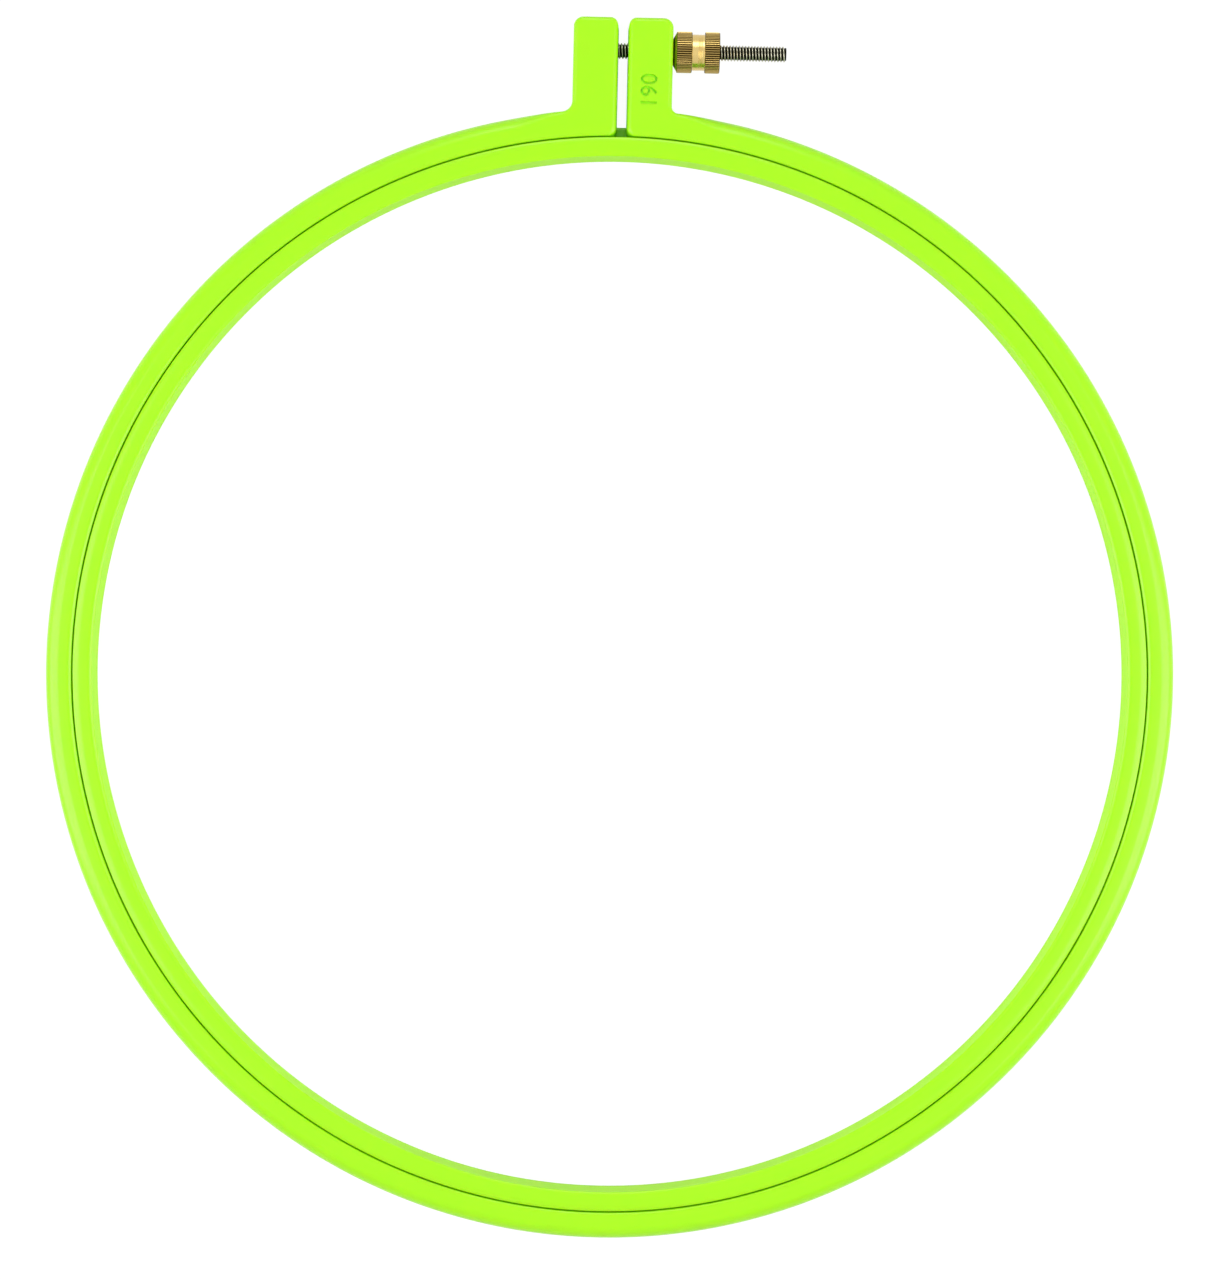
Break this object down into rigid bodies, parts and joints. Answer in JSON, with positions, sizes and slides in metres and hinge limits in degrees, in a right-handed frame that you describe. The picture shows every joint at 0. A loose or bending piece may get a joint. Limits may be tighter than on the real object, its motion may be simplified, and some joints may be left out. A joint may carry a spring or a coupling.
{
  "type": "embroidery hoop",
  "caption": "Round embroidery hoop: a plain inner hoop inside a split outer hoop, clamped by a long screw and a knurled nut across its lugs.",
  "frame": {"origin": "centre of the hoop at half its depth", "axes": "+Z along the hoop's axis, out of its front face; +Y towards the lugs; +X along the clamp screw, towards the nut"},
  "size_m": [0.1994, 0.2157, 0.009],
  "materials": {
    "hoop_plastic": "moulded, satin gloss",
    "screw_steel": "zinc plated, rolled thread",
    "nut_brass": "turned and straight knurled"
  },
  "bodies": {
    "inner_hoop": {"inner_hoop": "hoop_plastic"},
    "outer_hoop": {"outer_hoop": "hoop_plastic"},
    "clamp_screw": {"clamp_screw": "screw_steel"},
    "thumb_nut": {"thumb_nut": "nut_brass"}
  },
  "joints": [
    {"name": "hoop_lift", "type": "slide", "parent": "inner_hoop", "child": "outer_hoop", "axis": [0, 0, 1], "range_m": [0, 0.02]},
    {"name": "nut_turn", "type": "hinge", "parent": "outer_hoop", "child": "thumb_nut", "pos_m": [0.01295, 0.11045, 0.0006], "axis": [1, 0, 0], "range_deg": [0, 7200.1]},
    {"name": "screw_draw", "type": "slide", "parent": "outer_hoop", "child": "clamp_screw", "axis": [-1, 0, 0], "range_m": [0, 0.011]}
  ],
  "couplings": [
    {"joint": "nut_turn", "follows": "screw_draw", "rad_per_m": 11424}
  ]
}
